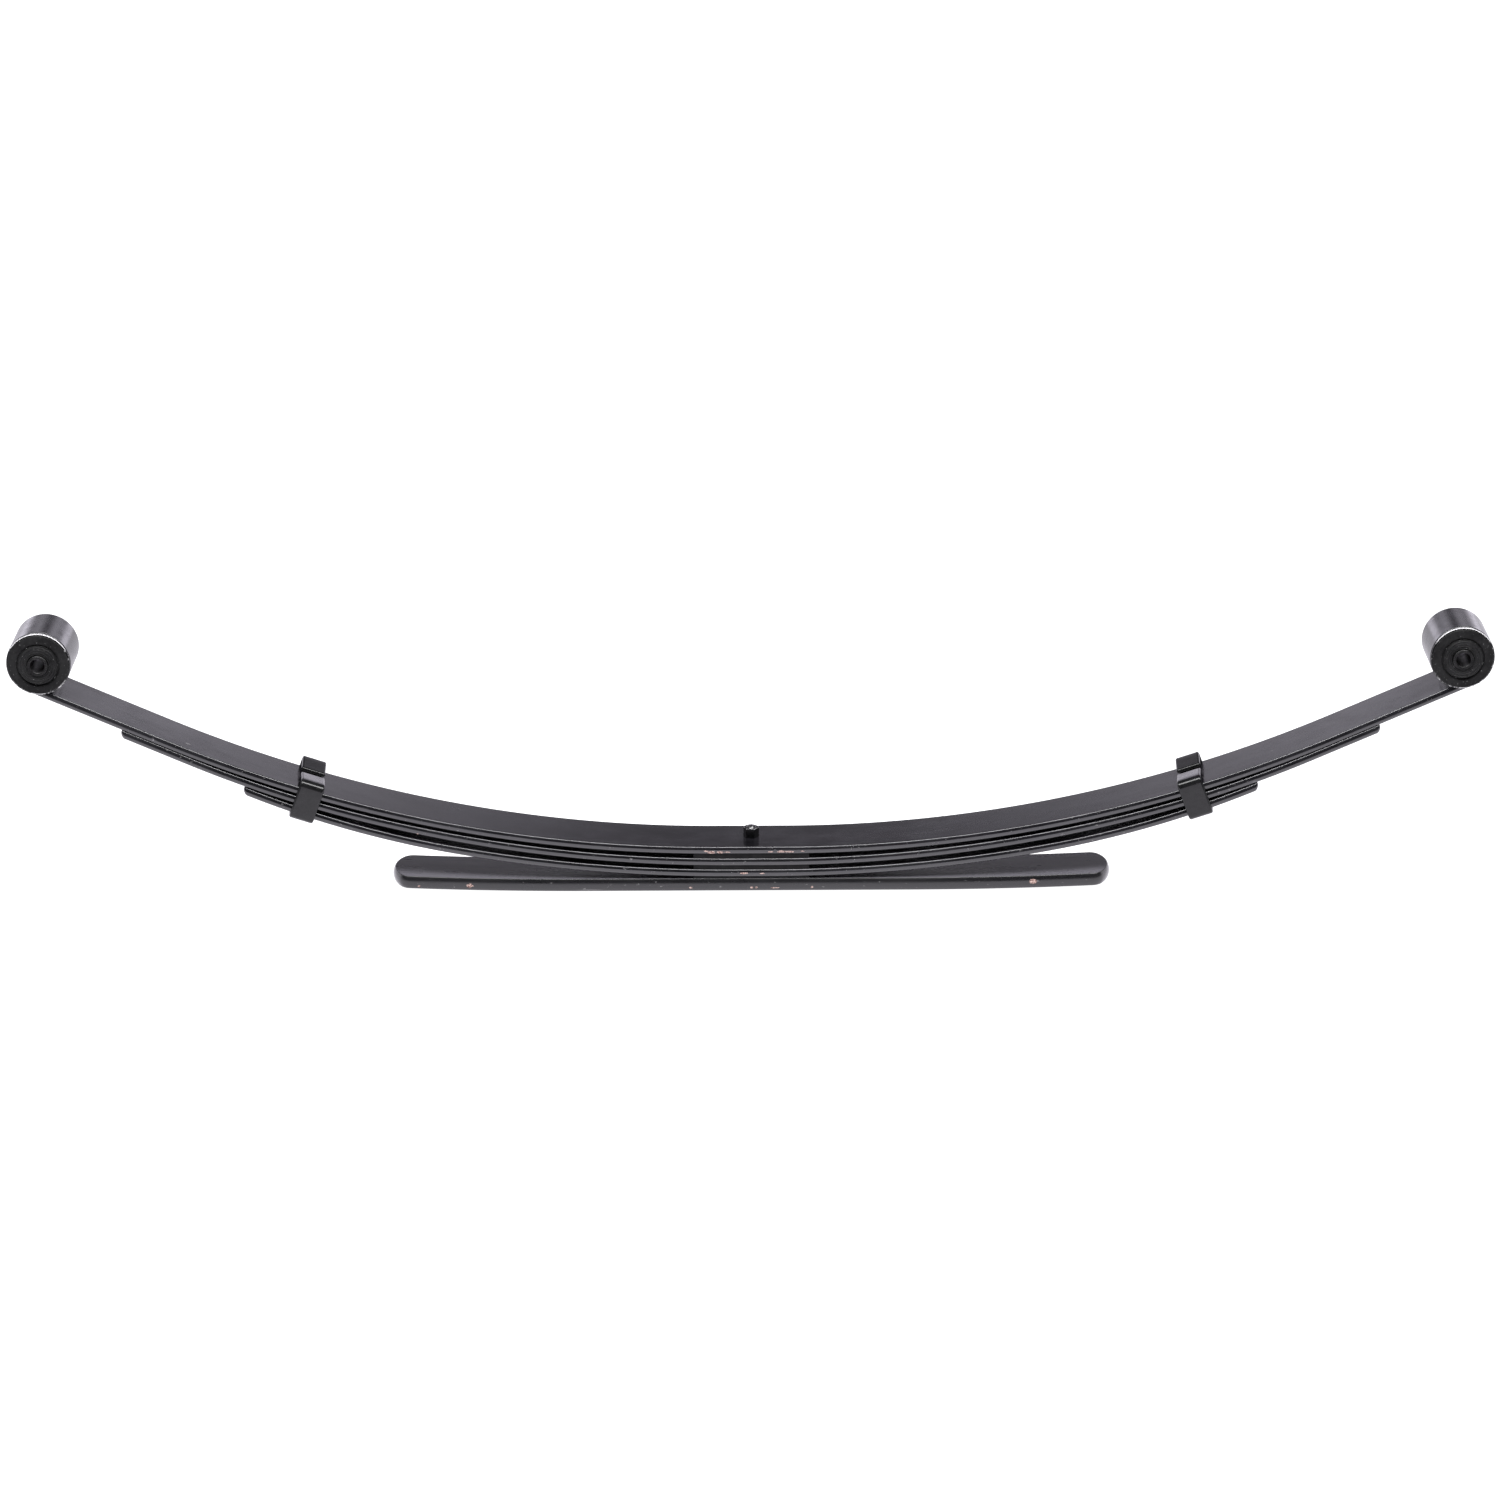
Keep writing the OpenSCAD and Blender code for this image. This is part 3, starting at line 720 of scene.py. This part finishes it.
AF, NH = 14.3, 10.0
r_in = AF / 2 - 0.15
seg = 144
v, f = [], []
for i in range(seg):
    th = 2 * math.pi * i / seg
    q = (th + D(30)) % D(60) - D(30)
    rh = (AF / 2) / math.cos(q)
    # a little rounding on the six corners
    rh = min(rh, AF / math.sqrt(3) - 0.16)
    zc = NH - max(0.0, rh - r_in) * math.tan(D(32))
    zb = max(0.0, rh - r_in) * math.tan(D(32)) * 0.5
    ring = [(r_in - 0.2, 0.0), (min(rh, r_in), 0.0), (rh, zb), (rh, zc), (min(rh, r_in), NH), (6.2, NH), (5.4, NH - 0.05), (4.85, NH - 0.7), (4.82, 0.6), (5.3, 0.0)]
    for r, z in ring:
        c, s = math.cos(th + D(20)), math.sin(th + D(20))
        v.append((r * c, r * s, Z1 + z + 0.02))
m = 10
for i in range(seg):
    j = (i + 1) % seg
    for k in range(m):
        q = (k + 1) % m
        f.append((i * m + k, i * m + q, j * m + q, j * m + k))
make("centre_nut_look", v, f, M_NUT, replaces=("centre_nut",), sharp=28)

# ---------------------------------------------------------------- bushes
SH = 24.55
shell = (
    [(22.6, -31.45), (22.9, -31.75), (SH - 0.5, -31.75), (SH, -31.25), (SH, 31.2), (SH + 0.15, 31.72), (SH + 0.5, 31.78)]
    + [(31.5, 31.78)] + arc2(31.55, 32.43, 0.65, -90, 0, 4) + arc2(31.2, 32.75, 1.0, 0, 90, 6) + [(30.6, 33.75), (23.2, 33.75), (22.6, 33.2)]
)
face = 33.75 + 1.8
ridge = []
for r in np.arange(19.0, 11.3, -0.3):
    u = (r - 11.2) / 8.0
    ridge.append((float(r), face + 2.35 + 0.28 * math.cos(2 * math.pi * (r - 11.0) / 2.55) - 0.35 * (1 - u) ** 2))
rub = (
    [(10.45, -34.0), (10.45, -33.6), (10.45, 34.9), (10.45, face + 1.2), (10.9, face + 1.75)]
    + list(reversed(ridge))
    + arc2(18.6, face + 1.5, 1.0, 65, 0, 4)
    + [(19.62, face + 0.5), (19.75, face - 0.15)]
    + arc2(20.7, face - 0.1, 0.95, 180, 360, 8)
    + [(21.8, face + 0.02), (23.5, face + 0.0), (26.2, face - 0.05), (29.6, face - 0.12)]
    + arc2(29.75, face - 1.0, 0.9, 85, 0, 6)
    + [(30.65, 33.8), (30.2, 33.76), (22.58, 33.76), (22.58, -31.6), (22.3, -31.75)]
    + [(19.7, -31.8), (19.6, -33.2)] + arc2(18.6, -33.25, 1.0, 0, -90, 5) + [(11.2, -34.25)]
)


def teeth(k, r, a, th):
    """Radial serrations on both end faces of the inner sleeve."""
    if k in (2, 3):
        return r, a - 0.28 * abs(((th * 30 / math.pi) % 2.0) - 1.0)
    if k in (6, 7):
        return r, a + 0.28 * abs(((th * 30 / math.pi) % 2.0) - 1.0)
    return r, a


yn, yf = 39.50, -35.60
inner = [(10.4, yf + 0.6), (10.4, yn - 0.6), (9.9, yn), (7.75, yn), (7.35, yn - 0.5), (7.35, yf + 0.5), (7.75, yf), (9.9, yf)]

for side, who in ((-1, "front"), (1, "rear")):
    c = (side * EYE_X, EYE_Z)
    v, f = lathe(shell, c, 1, 192)
    make(who + "_outer_sleeve_look", v, f, M_SHELL, replaces=(who + "_outer_sleeve",), sharp=50)
    v, f = lathe(rub, c, 1, 192)
    make(who + "_rubber_look", v, f, M_RUBBER, replaces=(who + "_rubber_bush",), sharp=60)
    v, f = lathe(inner, c, 1, 240, teeth)
    make(who + "_inner_sleeve_look", v, f, M_INNER, body=who + "_sleeve", replaces=(who + "_inner_sleeve",), sharp=35)

# ---------------------------------------------------------------- floor, light, camera
floor_me = bpy.data.meshes.new("floor")
floor_me.from_pydata([(-14, -9, -0.0081), (14, -9, -0.0081), (14, 19, -0.0081), (-14, 19, -0.0081)], [], [(0, 1, 2, 3)])
floor = bpy.data.objects.new("floor", floor_me)
bpy.context.scene.collection.objects.link(floor)
fm = bpy.data.materials.new("floor_white")
fm.use_nodes = True
fb = fm.node_tree.nodes["Principled BSDF"]
fb.inputs["Base Color"].default_value = (0.35, 0.35, 0.355, 1)
fb.inputs["Roughness"].default_value = 1.0
fb.inputs["Specular IOR Level"].default_value = 0.0
fb.inputs["Emission Color"].default_value = (1, 1, 1, 1)
fb.inputs["Emission Strength"].default_value = 1.02
ft = fm.node_tree
lp = ft.nodes.new("ShaderNodeLightPath")
fc = ft.nodes.new("ShaderNodeTexCoord")
fs = ft.nodes.new("ShaderNodeSeparateXYZ")
ft.links.new(fc.outputs["Object"], fs.inputs[0])


def floor_ramp(a, b, lo, hi):
    n = ft.nodes.new("ShaderNodeMapRange")
    n.interpolation_type = "SMOOTHSTEP"
    ft.links.new(fs.outputs["Y"], n.inputs["Value"])
    for k, x in zip(("From Min", "From Max", "To Min", "To Max"), (a, b, lo, hi)):
        n.inputs[k].default_value = x
    return n.outputs["Result"]


fmul = ft.nodes.new("ShaderNodeMath")
fmul.operation = "MULTIPLY"
ft.links.new(floor_ramp(-0.80, -0.30, 0.12, 2.1), fmul.inputs[0])
ft.links.new(floor_ramp(0.0, 0.5, 1.0, 0.48), fmul.inputs[1])
fe = ft.nodes.new("ShaderNodeEmission")
fe.inputs["Color"].default_value = (0.95, 0.92, 1.0, 1)
ft.links.new(fmul.outputs[0], fe.inputs["Strength"])
fx = ft.nodes.new("ShaderNodeMixShader")
ft.links.new(lp.outputs["Is Glossy Ray"], fx.inputs["Fac"])
ft.links.new(fb.outputs[0], fx.inputs[1])
ft.links.new(fe.outputs[0], fx.inputs[2])
ft.links.new(fx.outputs[0], ft.nodes["Material Output"].inputs["Surface"])
floor_me.materials.append(fm)


def world():
    w = bpy.data.worlds.new("studio")
    bpy.context.scene.world = w
    w.use_nodes = True
    t = w.node_tree
    bg = t.nodes["Background"]
    tc = t.nodes.new("ShaderNodeTexCoord")
    sep = t.nodes.new("ShaderNodeSeparateXYZ")
    t.links.new(tc.outputs["Generated"], sep.inputs[0])
    X, Y, Z = sep.outputs

    def mp(v, a, b, lo, hi):
        n = t.nodes.new("ShaderNodeMapRange")
        n.interpolation_type = "SMOOTHSTEP"
        t.links.new(v, n.inputs["Value"])
        for k, x in zip(("From Min", "From Max", "To Min", "To Max"), (a, b, lo, hi)):
            n.inputs[k].default_value = x
        return n.outputs["Result"]

    def mt(op, a, b):
        n = t.nodes.new("ShaderNodeMath")
        n.operation = op
        for s, v in zip(n.inputs, (a, b)):
            if isinstance(v, float):
                s.default_value = v
            else:
                t.links.new(v, s)
        return n.outputs[0]

    # behind the object: white up to a low horizon, grey above it; brighter away to either side
    low = mp(Z, 0.10, 0.21, 1.9, 0.0)
    ax = mt("ABSOLUTE", X, 0.0)
    sides = mt("ADD", mp(ax, 0.0, 0.15, 0.0, 0.56), mt("ADD", mp(ax, 0.17, 0.28, 0.0, -0.36), mp(ax, 0.42, 0.75, 0.0, 0.20)))
    grey = mt("MULTIPLY", mt("ADD", sides, 0.22), mp(Z, 0.36, 0.52, 1.0, 0.22))
    back = mt("MAXIMUM", low, grey)
    # in front of it: a darker room
    front = mp(Z, -0.06, 0.02, 0.7, 0.045)
    k = mp(Y, -0.15, 0.15, 0.0, 1.0)
    val = mt("ADD", mt("MULTIPLY", back, k), mt("MULTIPLY", front, mt("SUBTRACT", 1.0, k)))
    t.links.new(val, bg.inputs["Strength"])
    bg.inputs["Color"].default_value = (0.93, 0.89, 1.0, 1)


world()


def area(name, loc, target, sx, sy, power, color=(1, 1, 1)):
    li = bpy.data.lights.new(name, "AREA")
    li.shape, li.size, li.size_y, li.energy, li.color = "RECTANGLE", sx, sy, power, color
    o = bpy.data.objects.new(name, li)
    bpy.context.scene.collection.objects.link(o)
    o.location = loc
    o.rotation_mode = "QUATERNION"
    o.rotation_quaternion = (Vector(target) - Vector(loc)).to_track_quat("-Z", "Y")
    return o


area("top_box", (0, -1.1, 2.6), (0, 0, 0.1), 4.6, 1.0, 230)
area("side_box_left", (-2.6, 0.7, 1.0), (0, 0, 0.15), 1.2, 1.4, 6)
area("side_box_right", (2.6, 0.7, 1.0), (0, 0, 0.15), 1.2, 1.4, 5)

cam_data = bpy.data.cameras.new("camera")
cam_data.lens = 108.504
cam_data.sensor_width = 36.0
cam_data.sensor_fit = "HORIZONTAL"
cam_data.clip_start, cam_data.clip_end = 0.1, 60
cam = bpy.data.objects.new("camera", cam_data)
bpy.context.scene.collection.objects.link(cam)
cam.location = (0, -4.32424, 1.72965)
cam.rotation_mode = "XYZ"
rot = Matrix.Rotation(D(0.011), 4, "Z") @ Matrix.Rotation(D(90 - 20.159), 4, "X") @ Matrix.Rotation(-0.00448, 4, "Z")
cam.rotation_euler = rot.to_euler("XYZ")
bpy.context.scene.camera = cam
bpy.context.scene.view_settings.view_transform = "Standard"
